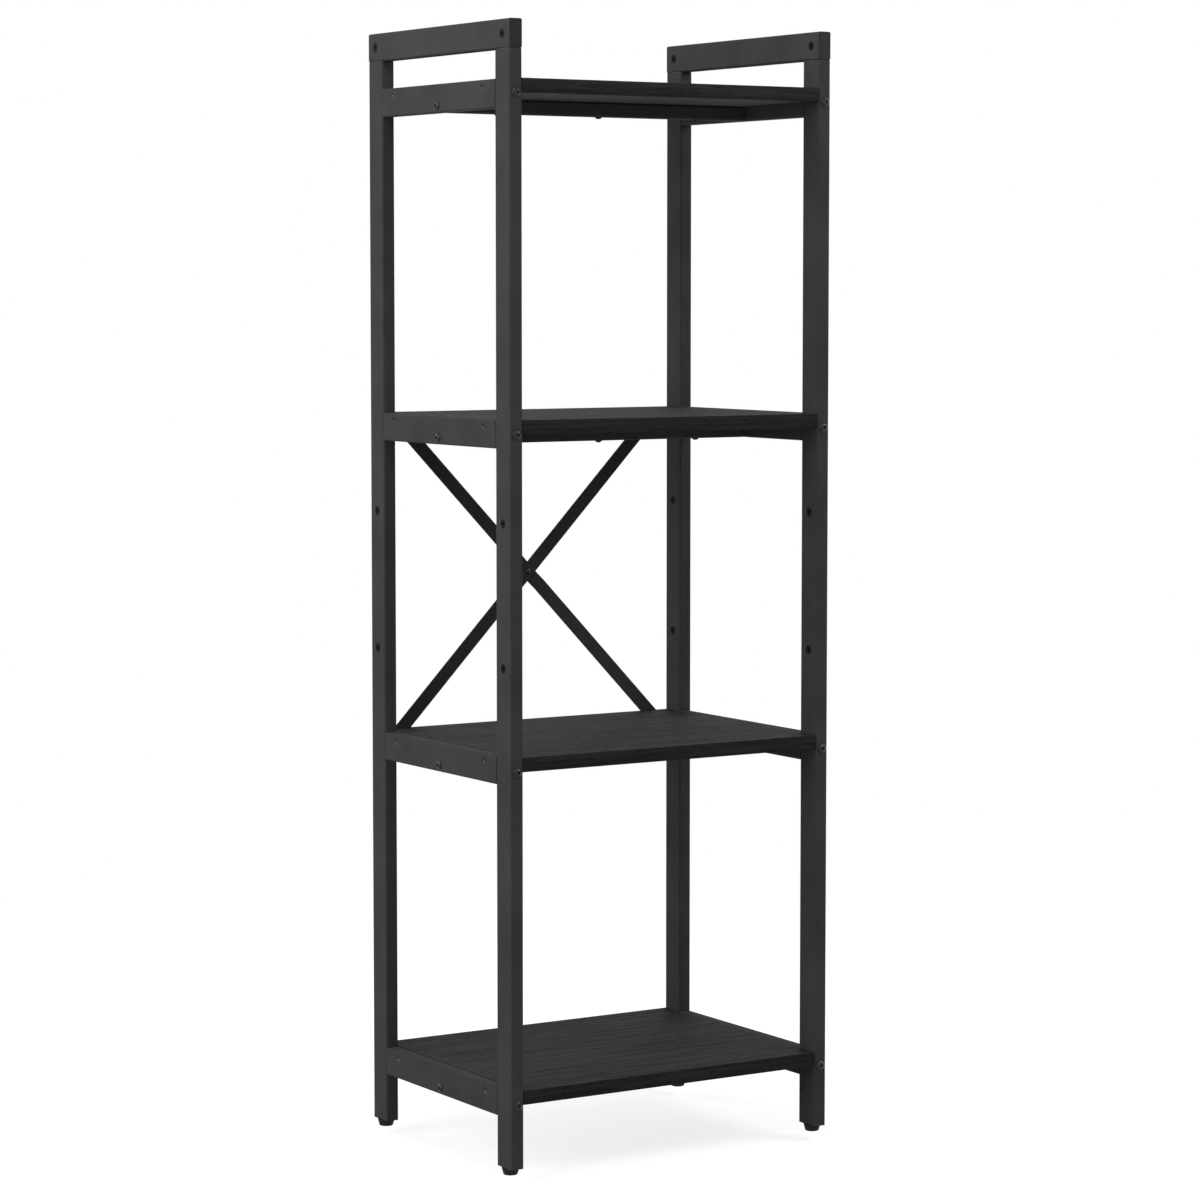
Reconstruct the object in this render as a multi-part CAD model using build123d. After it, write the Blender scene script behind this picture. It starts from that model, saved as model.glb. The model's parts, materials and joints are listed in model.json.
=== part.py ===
from build123d import *
import math
import os

os.makedirs("parts", exist_ok=True)

# Open bookcase. Two side frames of flat steel tube carry fixed boards, a cross bar stiffens
# each board from below, two crossed flat bars brace the back, and four levelling feet screw
# in and out under the posts.
# Millimetres. The origin is on the floor under the middle of the frame,
# +X to the right, +Y to the back and +Z up.

# Frame
frame_width = 400.0
frame_depth = 300.0
frame_height = 1197.0
level_count = 4
bottom_clearance = 60.0  # from the floor to the lowest rails
top_gap = 30.0  # hand gap between the highest side rails and the top rails

# Steel tube
tube_width = 15.0  # along X
tube_depth = 30.0  # along Y on a post, along Z on a rail
tube_wall = 1.2
tube_corner = 2.0
tube_deburr = 0.3  # chamfer round the cut ends
bar_width = 15.0  # cross bar, front to back
least_radius = 0.2  # inside a corner that the wall would use up

# Boards
board_thickness = 15.0
board_edge = 0.6  # rounding of the long edges
screw_cover = 5.0  # board left above an upright screw's tip

# Clearances
slip_clearance = 0.2  # inserts inside a tube, on each side
pass_clearance = 0.3  # fasteners through sheet metal, on the radius
hold_clearance = 0.05  # fasteners in the piece that holds them, on the radius
stud_clearance = 0.06  # levelling stud in its insert, on the radius

# Plugs that close the rails and bars and take the bolts
plug_length = 18.0
plug_recess = 0.5  # behind the tube's end
bolt_reach = 14.0  # length of a bolt inside its plug

# Bolts through the posts into the rails
post_bolt_diameter = 6.0
post_bolt_margin = 0.25  # flat of the post's face left at each side of the head
post_bolt_height = 3.3
post_bolt_socket = 4.0
post_bolt_socket_depth = 2.0

# Bolts through the rails into the cross bars
bar_bolt_diameter = 5.0
bar_bolt_margin = 1.0  # flat of the rail's face left below the head
bar_bolt_height = 2.8
bar_bolt_socket = 3.0
bar_bolt_socket_depth = 1.7

# Wood screws
screw_diameter = 4.0
screw_point = 3.0  # length of the tapered tip
screw_bite = 22.0  # length inside a board, from its edge
recess_span = 3.6  # cross recess
recess_width = 0.9
recess_depth = 1.4
sunk_head = 7.6  # countersunk, through the rails into the boards' ends
sunk_depth = 0.5  # head below the rail's face
rail_screw_gap = 6.5  # from the rail's plug to the screw's middle
pan_head = 7.5  # domed, under the cross bars and behind the brace
pan_height = 2.2
under_screw_offset = 126.0  # outer screws of a cross bar, from the middle
under_screw_count = 3

# Splice between the lower and upper posts
splice_bolt_offset = 75.0  # from the seam
sleeve_margin = 20.0  # sleeve past its bolts
sleeve_wall = 1.5

# Key bolts and barrel nuts, whose low heads lie in the tube's wall and lock the insert behind
key_head = 9.2
key_recess = 0.6  # head below the tube's face
key_socket = 3.0
key_socket_depth = 1.6
key_bolt_diameter = 4.0
barrel_diameter = 6.0
barrel_end_gap = 3.2  # barrel short of the far side of its insert
barrel_web = 1.0  # left between the bore and the socket

# Top rails
cap_thickness = 1.5
cap_plug_length = 3.0
cap_rounding = 0.6
tongue_depth = 18.0  # connector inside the top rail, along Y
tongue_headroom = 2.0  # under the rail's upper wall
connector_depth = 30.0  # connector inside the post

# Back brace
brace_width = 15.0
brace_thickness = 1.5
brace_inset = 16.5  # screw from the board's end
joggle_margin = 4.0  # raised middle past the bar under it, at each end
joggle_run = 10.0  # length of each slope
rivet_diameter = 5.0
rivet_head = 8.0
rivet_height = 1.6
rivet_tail_height = 0.9

# Levelling feet
foot_height = 7.5
foot_top_diameter = 18.8
foot_bottom_diameter = 14.8
foot_rounding = 1.0
foot_lip = 0.5  # rounding of the upper rim
foot_sole = 2.5  # plastic under the stud's head
stud_diameter = 6.0
stud_head_flats = 10.0
stud_length = 22.0
insert_length = 25.0

# Worked out from the sizes above
inner_width = tube_width - 2 * tube_wall
inner_depth = tube_depth - 2 * tube_wall
inner_corner = max(tube_corner - tube_wall, least_radius)
insert_width = inner_width - 2 * slip_clearance
insert_depth = inner_depth - 2 * slip_clearance
post_x = (frame_width - tube_width) / 2
post_y = (frame_depth - tube_depth) / 2
rail_length = frame_depth - 2 * tube_depth
board_length = frame_width - 2 * tube_width
bar_height = tube_depth - board_thickness
post_bolt_head = tube_width - 2 * (tube_corner + post_bolt_margin)
bar_bolt_head = bar_height - 2 * (tube_corner + bar_bolt_margin)
key_height = tube_wall + slip_clearance - key_recess
rail_screw_inset = plug_recess + plug_length + rail_screw_gap
post_top = frame_height - tube_depth
level_low = bottom_clearance + tube_depth  # lowest board's top
level_pitch = (post_top - top_gap - level_low) / (level_count - 1)
level_tops = [level_low + level_pitch * i for i in range(level_count)]
braced_level = level_count // 2 - 1
brace_low = level_tops[braced_level] - board_thickness / 2
brace_high = level_tops[braced_level + 1] - board_thickness / 2
seam_height = (brace_low + brace_high) / 2
sides = {"left": -1, "right": 1}
ends = {"front": -1, "rear": 1}

# Turns that point a fastener's head along each axis
head_left = Rot(0, -90, 0)
head_right = Rot(0, 90, 0)
head_front = Rot(90, 0, 0)
head_rear = Rot(-90, 0, 0)
head_down = Rot(180, 0, 0)
along_x = Rot(0, 90, 0)
along_y = Rot(90, 0, 0)
heads_out = {"left": head_left, "right": head_right, "front": head_front, "rear": head_rear}


# Tubes and the inserts that slide into them
def tube(width, depth, length):
    outside = extrude(RectangleRounded(width, depth, tube_corner), amount=length / 2, both=True)
    end_faces = outside.faces().filter_by(Axis.Z)
    outside = chamfer(end_faces.edges(), tube_deburr)
    inside = RectangleRounded(width - 2 * tube_wall, depth - 2 * tube_wall, inner_corner)
    return outside - extrude(inside, amount=length, both=True)


def insert(width, depth, length):
    inside_width = width - 2 * tube_wall - 2 * slip_clearance
    inside_depth = depth - 2 * tube_wall - 2 * slip_clearance
    section = RectangleRounded(inside_width, inside_depth, inner_corner)
    return extrude(section, amount=length / 2, both=True)


# Fasteners, with the seat of the head at the origin and the head towards +Z
def hex_cutter(flats, depth, top):
    socket = extrude(RegularPolygon(flats / math.sqrt(3), 6), amount=depth)
    return Pos(0, 0, top - depth) * socket


def cross_cutter(top):
    blade = Box(recess_span, recess_width, recess_depth)
    return Pos(0, 0, top - recess_depth / 2) * (blade + Rot(0, 0, 90) * blade)


def dome(radius, edge, height):
    rise = height - edge
    ball = (radius**2 + rise**2) / (2 * rise)
    half_turn = math.asin(radius / ball) / 2
    middle = (ball * math.sin(half_turn), 0, height - ball + ball * math.cos(half_turn))
    return ThreePointArc((radius, 0, edge), middle, (0, 0, height))


def domed_bolt(diameter, length, head, height, cutter):
    edge = height / 4
    side = Polyline(
        (0, 0, height),
        (0, 0, -length),
        (diameter / 2, 0, -length),
        (diameter / 2, 0, 0),
        (head / 2, 0, 0),
        (head / 2, 0, edge),
    )
    return (revolve(make_face([side, dome(head / 2, edge, height)]), Axis.Z) - cutter).solid()


def pan_screw(length):
    edge = pan_height / 4
    side = Polyline(
        (0, 0, pan_height),
        (0, 0, -length),
        (screw_diameter / 2, 0, screw_point - length),
        (screw_diameter / 2, 0, 0),
        (pan_head / 2, 0, 0),
        (pan_head / 2, 0, edge),
    )
    body = revolve(make_face([side, dome(pan_head / 2, edge, pan_height)]), Axis.Z)
    return (body - cross_cutter(pan_height)).solid()


def sunk_screw(length):
    cone = (sunk_head - screw_diameter) / 2
    side = Polyline(
        (0, 0, -sunk_depth),
        (0, 0, -length),
        (screw_diameter / 2, 0, screw_point - length),
        (screw_diameter / 2, 0, -sunk_depth - cone),
        (sunk_head / 2, 0, -sunk_depth),
        close=True,
    )
    return (revolve(make_face(side), Axis.Z) - cross_cutter(-sunk_depth)).solid()


# The low head of a key bolt, and of its barrel nut, seats on the insert's face
barrel_length = insert_width - barrel_end_gap
bore_end = key_socket_depth - key_height + barrel_web


def key_bolt():
    body = Pos(0, 0, key_height / 2) * Cylinder(key_head / 2, key_height)
    shank_length = insert_width - bore_end - barrel_web
    shank = Pos(0, 0, -shank_length / 2) * Cylinder(key_bolt_diameter / 2, shank_length)
    return (body + shank - hex_cutter(key_socket, key_socket_depth, key_height)).solid()


def barrel_nut():
    body = Pos(0, 0, key_height / 2) * Cylinder(key_head / 2, key_height)
    barrel = Pos(0, 0, -barrel_length / 2) * Cylinder(barrel_diameter / 2, barrel_length)
    bore_length = barrel_length - bore_end
    bore = Cylinder(key_bolt_diameter / 2 + hold_clearance, bore_length)
    socket = hex_cutter(key_socket, key_socket_depth, key_height)
    return (body + barrel - Pos(0, 0, -bore_end - bore_length / 2) * bore - socket).solid()


# Posts, in two lengths joined at the seam
def post_centre(side, end):
    return Pos(sides[side] * post_x, ends[end] * post_y, 0)


rail_heights = [top - tube_depth / 2 for top in level_tops]
splice_heights = [seam_height - splice_bolt_offset, seam_height + splice_bolt_offset]
post_bolt_hole = along_y * Cylinder(post_bolt_diameter / 2 + pass_clearance, 2 * tube_depth)
key_hole = along_x * Cylinder(key_head / 2 + pass_clearance, 2 * tube_width)


def post(low, high):
    body = Pos(0, 0, (low + high) / 2) * tube(tube_width, tube_depth, high - low)
    for height in rail_heights:
        if low < height < high:
            body -= Pos(0, 0, height) * post_bolt_hole
    for height in splice_heights:
        if low < height < high:
            body -= Pos(0, 0, height) * key_hole
    return body.solid()


nodes = {}
for side in sides:
    for end in ends:
        nodes[f"lower_post_{end}_{side}"] = post_centre(side, end) * post(foot_height, seam_height)
        nodes[f"upper_post_{end}_{side}"] = post_centre(side, end) * post(seam_height, post_top)


# Splice sleeves, half in each post
def splice_sleeve():
    length = 2 * (splice_bolt_offset + sleeve_margin)
    hollow = Box(insert_width - 2 * sleeve_wall, insert_depth - 2 * sleeve_wall, length)
    body = Pos(0, 0, seam_height) * (insert(tube_width, tube_depth, length) - hollow)
    bolt_hole = along_x * Cylinder(key_bolt_diameter / 2 + pass_clearance, tube_width)
    barrel_hole = along_x * Cylinder(barrel_diameter / 2 + pass_clearance, tube_width)
    for height in splice_heights:
        body -= Pos(-tube_width / 2, 0, height) * bolt_hole
        body -= Pos(tube_width / 2, 0, height) * barrel_hole
    return body.solid()


left_sleeve = splice_sleeve()
right_sleeve = mirror(left_sleeve, about=Plane.YZ).solid()
sleeves = {"left": left_sleeve, "right": right_sleeve}
nodes["splice_sleeves"] = [post_centre(side, end) * sleeves[side] for side in sides for end in ends]


# Side rails, with pressed countersinks for the board screws in the outer wall
rail_screw_y = rail_length / 2 - rail_screw_inset
screw_rise = (tube_depth - board_thickness) / 2  # board's middle above the rail's
bar_drop = (tube_depth - bar_height) / 2  # cross bar's middle below the rail's
screw_hole_radius = screw_diameter / 2 + pass_clearance
sink_radius = sunk_head / 2 + sunk_depth + hold_clearance
sink_depth = sink_radius - screw_hole_radius


def pressed_cone(spread):
    profile = Polyline(
        (0, 0, 0),
        (sink_radius + spread, 0, 0),
        (screw_hole_radius + spread, 0, -sink_depth),
        (0, 0, -sink_depth),
        close=True,
    )
    return revolve(make_face(profile), Axis.Z)


def left_rail():
    body = along_y * tube(tube_width, tube_depth, rail_length)
    screw_hole = along_x * Cylinder(screw_hole_radius, 2 * tube_width)
    bolt_hole = along_x * Cylinder(bar_bolt_diameter / 2 + pass_clearance, 2 * tube_width)
    for y in (-rail_screw_y, rail_screw_y):
        back = Pos((tube_wall - tube_width) / 2, y, screw_rise) * head_left
        face = Pos(-tube_width / 2, y, screw_rise) * head_left
        body += back * pressed_cone(tube_wall)
        body -= face * pressed_cone(0)
        body -= Pos(0, y, screw_rise) * screw_hole
    return (body - Pos(0, 0, -bar_drop) * bolt_hole).solid()


rail_shapes = {"left": left_rail()}
rail_shapes["right"] = mirror(rail_shapes["left"], about=Plane.YZ).solid()
for number, height in enumerate(rail_heights, 1):
    for side, sign in sides.items():
        nodes[f"side_rail_{number}_{side}"] = Pos(sign * post_x, 0, height) * rail_shapes[side]


# Plugs in the rails' ends, and the bolts that reach them through the posts
rail_plug = along_y * (
    insert(tube_width, tube_depth, plug_length)
    - Cylinder(post_bolt_diameter / 2 + hold_clearance, 2 * plug_length)
)
rail_plug_y = rail_length / 2 - plug_recess - plug_length / 2
post_bolt = domed_bolt(
    post_bolt_diameter,
    tube_depth + plug_recess + bolt_reach,
    post_bolt_head,
    post_bolt_height,
    hex_cutter(post_bolt_socket, post_bolt_socket_depth, post_bolt_height),
)
nodes["rail_plugs"] = []
nodes["post_bolts"] = []
for height in rail_heights:
    for x in (-post_x, post_x):
        for end, sign in ends.items():
            nodes["rail_plugs"].append((Pos(x, sign * rail_plug_y, height) * rail_plug).solid())
            seat = Pos(x, sign * frame_depth / 2, height) * heads_out[end]
            nodes["post_bolts"].append(seat * post_bolt)


# Boards, drilled for their screws
bored = screw_diameter / 2 + hold_clearance
under_screw_xs = [
    under_screw_offset * (2 * i / (under_screw_count - 1) - 1) for i in range(under_screw_count)
]
brace_x = board_length / 2 - brace_inset


def board(braced):
    body = Box(board_length, frame_depth, board_thickness)
    body = fillet(body.edges().filter_by(Axis.X), board_edge)
    end_hole = along_x * Cylinder(bored, 2 * screw_bite)
    edge_hole = along_y * Cylinder(bored, 2 * screw_bite)
    under_hole = Cylinder(bored, 2 * (board_thickness - screw_cover))
    for x in (-board_length / 2, board_length / 2):
        for y in (-rail_screw_y, rail_screw_y):
            body -= Pos(x, y, 0) * end_hole
    for x in under_screw_xs:
        body -= Pos(x, 0, -board_thickness / 2) * under_hole
    if braced:
        for x in (-brace_x, brace_x):
            body -= Pos(x, frame_depth / 2, 0) * edge_hole
    return body.solid()


for number, top in enumerate(level_tops, 1):
    braced = number - 1 in (braced_level, braced_level + 1)
    nodes[f"shelf_board_{number}"] = Pos(0, 0, top - board_thickness / 2) * board(braced)


# Cross bars under the boards, with plugs for the bolts through the rails
def cross_bar():
    body = along_x * tube(bar_height, bar_width, board_length)
    for x in under_screw_xs:
        body -= Pos(x, 0, 0) * Cylinder(screw_hole_radius, 2 * bar_height)
    return body.solid()


bar_plug = along_x * (
    insert(bar_height, bar_width, plug_length)
    - Cylinder(bar_bolt_diameter / 2 + hold_clearance, 2 * plug_length)
)
bar_plug_x = board_length / 2 - plug_recess - plug_length / 2
bar_bolt = domed_bolt(
    bar_bolt_diameter,
    tube_width + plug_recess + bolt_reach,
    bar_bolt_head,
    bar_bolt_height,
    hex_cutter(bar_bolt_socket, bar_bolt_socket_depth, bar_bolt_height),
)
rail_screw = sunk_screw(tube_width + screw_bite)
under_screw = pan_screw(bar_height + board_thickness - screw_cover)
bar_shape = cross_bar()
nodes["bar_plugs"] = []
nodes["bar_bolts"] = []
nodes["rail_screws"] = []
nodes["under_screws"] = []
for number, top in enumerate(level_tops, 1):
    bar_z = top - board_thickness - bar_height / 2
    nodes[f"cross_bar_{number}"] = Pos(0, 0, bar_z) * bar_shape
    for side, sign in sides.items():
        nodes["bar_plugs"].append((Pos(sign * bar_plug_x, 0, bar_z) * bar_plug).solid())
        outer_x = sign * frame_width / 2
        nodes["bar_bolts"].append(Pos(outer_x, 0, bar_z) * heads_out[side] * bar_bolt)
        for y in (-rail_screw_y, rail_screw_y):
            seat = Pos(outer_x, y, top - board_thickness / 2) * heads_out[side]
            nodes["rail_screws"].append(seat * rail_screw)
    for x in under_screw_xs:
        seat = Pos(x, 0, bar_z - bar_height / 2) * head_down
        nodes["under_screws"].append(seat * under_screw)


# Top rails over the post tops, with end caps and a connector down into each post
top_rail_z = frame_height - tube_depth / 2
top_rail_length = frame_depth - 2 * cap_thickness


def top_rail():
    body = along_y * tube(tube_width, tube_depth, top_rail_length)
    slot_height = 2 * (tube_wall + inner_corner)
    slot = Box(inner_width, tongue_depth + 2 * slip_clearance, slot_height)
    for y in (-post_y, post_y):
        body -= Pos(0, y, -tube_depth / 2) * slot
        body -= Pos(0, y, 0) * key_hole
    return body.solid()


def top_cap():
    flange = extrude(RectangleRounded(tube_width, tube_depth, tube_corner), amount=cap_thickness)
    flange = fillet(flange.faces().sort_by(Axis.Z)[-1].edges(), cap_rounding)
    plug = Pos(0, 0, -cap_plug_length / 2) * insert(tube_width, tube_depth, cap_plug_length)
    return (flange + plug).solid()


def top_connector():
    lower = Pos(0, 0, -connector_depth / 2) * insert(tube_width, tube_depth, connector_depth)
    tongue_height = tube_depth - tube_wall - tongue_headroom
    tongue = Pos(0, 0, tongue_height / 2) * Box(insert_width, tongue_depth, tongue_height)
    bolt_hole = along_x * Cylinder(key_bolt_diameter / 2 + pass_clearance, 2 * tube_width)
    barrel_hole = along_x * Cylinder(barrel_diameter / 2 + pass_clearance, tube_width)
    barrel_start = insert_width / 2 - barrel_length - hold_clearance
    body = lower + tongue - Pos(0, 0, tube_depth / 2) * bolt_hole
    return (body - Pos(barrel_start + tube_width / 2, 0, tube_depth / 2) * barrel_hole).solid()


connectors = {"left": top_connector()}
connectors["right"] = mirror(connectors["left"], about=Plane.YZ).solid()
nodes["top_connectors"] = []
for side, sign in sides.items():
    nodes[f"top_rail_{side}"] = Pos(sign * post_x, 0, top_rail_z) * top_rail()
    for end, y_sign in ends.items():
        seat = Pos(sign * post_x, y_sign * top_rail_length / 2, top_rail_z)
        nodes[f"top_cap_{end}_{side}"] = seat * heads_out[end] * top_cap()
        nodes["top_connectors"].append(post_centre(side, end) * Pos(0, 0, post_top) * connectors[side])


# Key bolts from outside and barrel nuts from inside, in the splices and the top corners
other_side = {"left": "right", "right": "left"}
nodes["key_bolts"] = []
nodes["barrel_nuts"] = []
for side, sign in sides.items():
    for end in ends:
        for height in splice_heights + [top_rail_z]:
            centre = post_centre(side, end) * Pos(0, 0, height)
            seat = Pos(sign * insert_width / 2, 0, 0) * heads_out[side]
            nodes["key_bolts"].append(centre * seat * key_bolt())
            seat = Pos(-sign * insert_width / 2, 0, 0) * heads_out[other_side[side]]
            nodes["barrel_nuts"].append(centre * seat * barrel_nut())


# Back brace: one flat bar, one bar raised over it where they cross, a rivet and four screws
brace_span = math.hypot(2 * brace_x, brace_high - brace_low)
brace_angle = math.atan2(brace_high - brace_low, 2 * brace_x)
crossing_angle = 2 * brace_angle
crossing_reach = brace_width / 2 * (1 + abs(math.cos(crossing_angle))) / math.sin(crossing_angle)
joggle_flat = crossing_reach + joggle_margin


def brace_outline(depth):
    bar = extrude(SlotCenterToCenter(brace_span, brace_width), amount=depth)
    for x in (-brace_span / 2, brace_span / 2):
        bar -= Pos(x, 0, 0) * Cylinder(screw_hole_radius, 4 * depth)
    return bar - Cylinder(rivet_diameter / 2 + hold_clearance, 4 * depth)


def raised_strip():
    half = brace_span / 2 + brace_width
    lower_line = [
        (-half, 0),
        (-joggle_flat - joggle_run, 0),
        (-joggle_flat, brace_thickness),
        (joggle_flat, brace_thickness),
        (joggle_flat + joggle_run, 0),
        (half, 0),
    ]
    upper_line = [(u, w + brace_thickness) for u, w in reversed(lower_line)]
    profile = make_face(Polyline(*[(u, 0, w) for u, w in lower_line + upper_line], close=True))
    return extrude(profile, amount=brace_width, both=True)


def brace_plane(angle):
    along = (math.cos(angle), 0, math.sin(angle))
    return Plane(origin=(0, frame_depth / 2, seam_height), x_dir=along, z_dir=(0, 1, 0))


flat_bar = brace_outline(brace_thickness)
raised_bar = brace_outline(2 * brace_thickness) & raised_strip()
nodes["brace_bar_flat"] = (brace_plane(brace_angle) * flat_bar).solid()
nodes["brace_bar_raised"] = (brace_plane(-brace_angle) * raised_bar).solid()

rivet_grip = 2 * brace_thickness
front_head = dome(rivet_head / 2, rivet_height / 4, rivet_height)
rivet_body = Polyline(
    (0, 0, rivet_height),
    (0, 0, -rivet_grip - rivet_tail_height),
    (rivet_diameter / 2 + rivet_tail_height, 0, -rivet_grip - rivet_tail_height),
    (rivet_head / 2, 0, -rivet_grip),
    (rivet_diameter / 2, 0, -rivet_grip),
    (rivet_diameter / 2, 0, 0),
    (rivet_head / 2, 0, 0),
    (rivet_head / 2, 0, rivet_height / 4),
)
rivet = revolve(make_face([rivet_body, front_head]), Axis.Z)
nodes["brace_rivet"] = (Pos(0, frame_depth / 2, seam_height) * head_front * rivet).solid()

brace_screw = pan_screw(brace_thickness + screw_bite)
nodes["brace_screws"] = [
    Pos(x, frame_depth / 2 + brace_thickness, z) * head_rear * brace_screw
    for x in (-brace_x, brace_x)
    for z in (brace_low, brace_high)
]


# Levelling feet: a plastic base moulded on a stud, which turns in an insert in the post's end
def foot_base():
    profile = Polyline(
        (0, 0, 0),
        (foot_bottom_diameter / 2, 0, 0),
        (foot_top_diameter / 2, 0, foot_height),
        (0, 0, foot_height),
        close=True,
    )
    body = revolve(make_face(profile), Axis.Z)
    body = fillet(body.edges().group_by(Axis.Z)[0], foot_rounding)
    body = fillet(body.edges().group_by(Axis.Z)[-1], foot_lip)
    flats = stud_head_flats + 2 * hold_clearance
    return (body - hex_cutter(flats, foot_height - foot_sole, foot_height)).solid()


def foot_stud():
    head = hex_cutter(stud_head_flats, foot_height - foot_sole, foot_height)
    shank = Pos(0, 0, foot_height + stud_length / 2) * Cylinder(stud_diameter / 2, stud_length)
    return (head + shank).solid()


def post_insert():
    body = insert(tube_width, tube_depth, insert_length)
    body -= Cylinder(stud_diameter / 2 + stud_clearance, 2 * insert_length)
    return (Pos(0, 0, foot_height + insert_length / 2) * body).solid()


for side in sides:
    for end in ends:
        place = post_centre(side, end)
        nodes[f"foot_base_{end}_{side}"] = place * foot_base()
        nodes[f"foot_stud_{end}_{side}"] = place * foot_stud()
        nodes[f"post_insert_{end}_{side}"] = place * post_insert()

for name, shape in nodes.items():
    whole = Compound(shape) if isinstance(shape, list) else shape
    export_step(whole, f"parts/{name}.step")
print(len(nodes), "nodes, boards", level_pitch, "apart")
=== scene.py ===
import json
import math

import bmesh
import bpy
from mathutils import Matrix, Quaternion, Vector


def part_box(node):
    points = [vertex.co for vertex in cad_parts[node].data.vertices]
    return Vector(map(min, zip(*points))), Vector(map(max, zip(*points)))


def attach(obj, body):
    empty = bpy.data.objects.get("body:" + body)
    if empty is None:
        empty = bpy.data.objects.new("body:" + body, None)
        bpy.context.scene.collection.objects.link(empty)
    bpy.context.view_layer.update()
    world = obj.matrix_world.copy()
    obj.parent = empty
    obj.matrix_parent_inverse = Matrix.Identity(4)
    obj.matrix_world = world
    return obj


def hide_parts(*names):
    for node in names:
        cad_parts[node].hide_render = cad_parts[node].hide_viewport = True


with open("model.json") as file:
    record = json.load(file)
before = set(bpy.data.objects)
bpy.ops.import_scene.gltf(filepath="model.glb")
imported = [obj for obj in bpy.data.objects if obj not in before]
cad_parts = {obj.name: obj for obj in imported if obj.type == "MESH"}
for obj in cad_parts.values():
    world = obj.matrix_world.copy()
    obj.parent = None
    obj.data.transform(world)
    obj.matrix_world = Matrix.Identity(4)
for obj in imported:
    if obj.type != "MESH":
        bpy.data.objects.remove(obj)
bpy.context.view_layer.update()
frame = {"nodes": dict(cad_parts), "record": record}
nodes = frame["nodes"]
scene = bpy.context.scene
scene.view_settings.view_transform = "Standard"
mm = 0.001  # Blender works in metres, the sizes here are in millimetres
levels = (1, 2, 3, 4)
sides = {"left": -1, "right": 1}
ends = {"front": -1, "rear": 1}
print("frame loaded:", len(nodes), "nodes")


# nodes for the materials

noiseLow = 0.3  # nearly all of a noise texture lies between these two
noiseHigh = 0.7


def hexColor(text):
    channels = [int(text[i:i + 2], 16) / 255 for i in (1, 3, 5)]
    return [c / 12.92 if c <= 0.04045 else ((c + 0.055) / 1.055) ** 2.4 for c in channels] + [1.0]


# links the inputs that are given as sockets and sets the others
def setInputs(tree, node, inputs):
    for name, value in inputs.items():
        if isinstance(value, bpy.types.NodeSocket):
            tree.links.new(value, node.inputs[name])
        else:
            node.inputs[name].default_value = value


def addNode(tree, kind, inputs=None, **settings):
    node = tree.nodes.new("ShaderNode" + kind)
    for name, value in settings.items():
        setattr(node, name, value)
    setInputs(tree, node, inputs or {})
    return node


def newMaterial(name):
    material = bpy.data.materials.new(name)
    material.use_nodes = True
    tree = material.node_tree
    tree.nodes.clear()
    shader = addNode(tree, "BsdfPrincipled")
    addNode(tree, "OutputMaterial", {"Surface": shader.outputs["BSDF"]})
    place = addNode(tree, "TexCoord").outputs["Object"]
    return material, tree, shader, place


# how often a pattern repeats in a metre, from its size in millimetres
def perMetre(size):
    return 1 / (size * mm)


def setRamp(ramp, look):
    ramp.color_ramp.elements[0].color = hexColor(look["dark"])
    ramp.color_ramp.elements[1].color = hexColor(look["light"])


# materials

powderCoat = {
    "dark": "#2d2d2e", "light": "#343435",
    "cloudMm": 60,  # slow drift of the coat's thickness
    "peelMm": 2.4,  # orange peel is nearer 1 mm, drawn coarser so that it shows
    "peelDepthMm": 0.02,
    "roughLow": 0.76, "roughHigh": 0.84,
    "specular": 0.08,
}


# polyester powder baked on steel tube: soft black, faintly pebbled, with hardly any shine
def makePowderCoat(look):
    material, tree, shader, place = newMaterial("powderCoatedSteel")
    cloud = addNode(tree, "TexNoise", {"Vector": place, "Scale": perMetre(look["cloudMm"]), "Detail": 2.0})
    peel = addNode(tree, "TexNoise", {"Vector": place, "Scale": perMetre(look["peelMm"]), "Detail": 1.5})
    tone = addNode(tree, "MapRange", {
        "Value": cloud.outputs["Fac"], "From Min": noiseLow, "From Max": noiseHigh,
    })
    color = addNode(tree, "ValToRGB", {"Fac": tone.outputs["Result"]})
    setRamp(color, look)
    rough = addNode(tree, "MapRange", {
        "Value": peel.outputs["Fac"], "From Min": noiseLow, "From Max": noiseHigh,
        "To Min": look["roughLow"], "To Max": look["roughHigh"],
    })
    bump = addNode(tree, "Bump", {
        "Height": peel.outputs["Fac"], "Strength": 1.0, "Distance": look["peelDepthMm"] * mm,
    })
    setInputs(tree, shader, {
        "Base Color": color.outputs["Color"], "Roughness": rough.outputs["Result"],
        "Normal": bump.outputs["Normal"], "Specular IOR Level": look["specular"],
    })
    return material


oakGrain = {
    "waver": 0.3,  # how far each layer of the grain strays from even blots
    "poreFrom": 0.56, "poreTo": 0.66,  # noise levels between which a pore opens
    "poreShade": 0.45,  # how far a pore lies below the tone around it
    "toneFrom": 0.74, "toneTo": 1.26,  # sums of band and streak that give the dark and the light tone
    "specular": 0.08,
}
oakLaminate = {
    **oakGrain,
    "name": "blackOakLaminate",
    "dark": "#090909", "light": "#2e2e2e",
    "figureMm": (260, 38, 38),  # slow swing of the grain, long along the board
    "swingMm": 26,
    "bandMm": (210, 6.5, 6.5),
    "streakMm": (90, 2.0, 2.0),
    "poreMm": (14, 0.9, 0.9),  # oak pores are 0.2 mm wide, drawn coarser so that they show
    "poreDepthMm": 0.05,
    "roughLow": 0.72, "roughHigh": 0.85,
}
oakEdgeBand = {
    **oakGrain,
    "name": "blackOakEdgeBand",
    "dark": "#080808", "light": "#1f1f1f",
    "figureMm": (200, 30, 30),
    "swingMm": 10,
    "bandMm": (160, 4.0, 4.0),
    "streakMm": (70, 1.6, 1.6),
    "poreMm": (12, 0.8, 0.8),
    "poreDepthMm": 0.03,
    "roughLow": 0.62, "roughHigh": 0.75,
}


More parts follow.
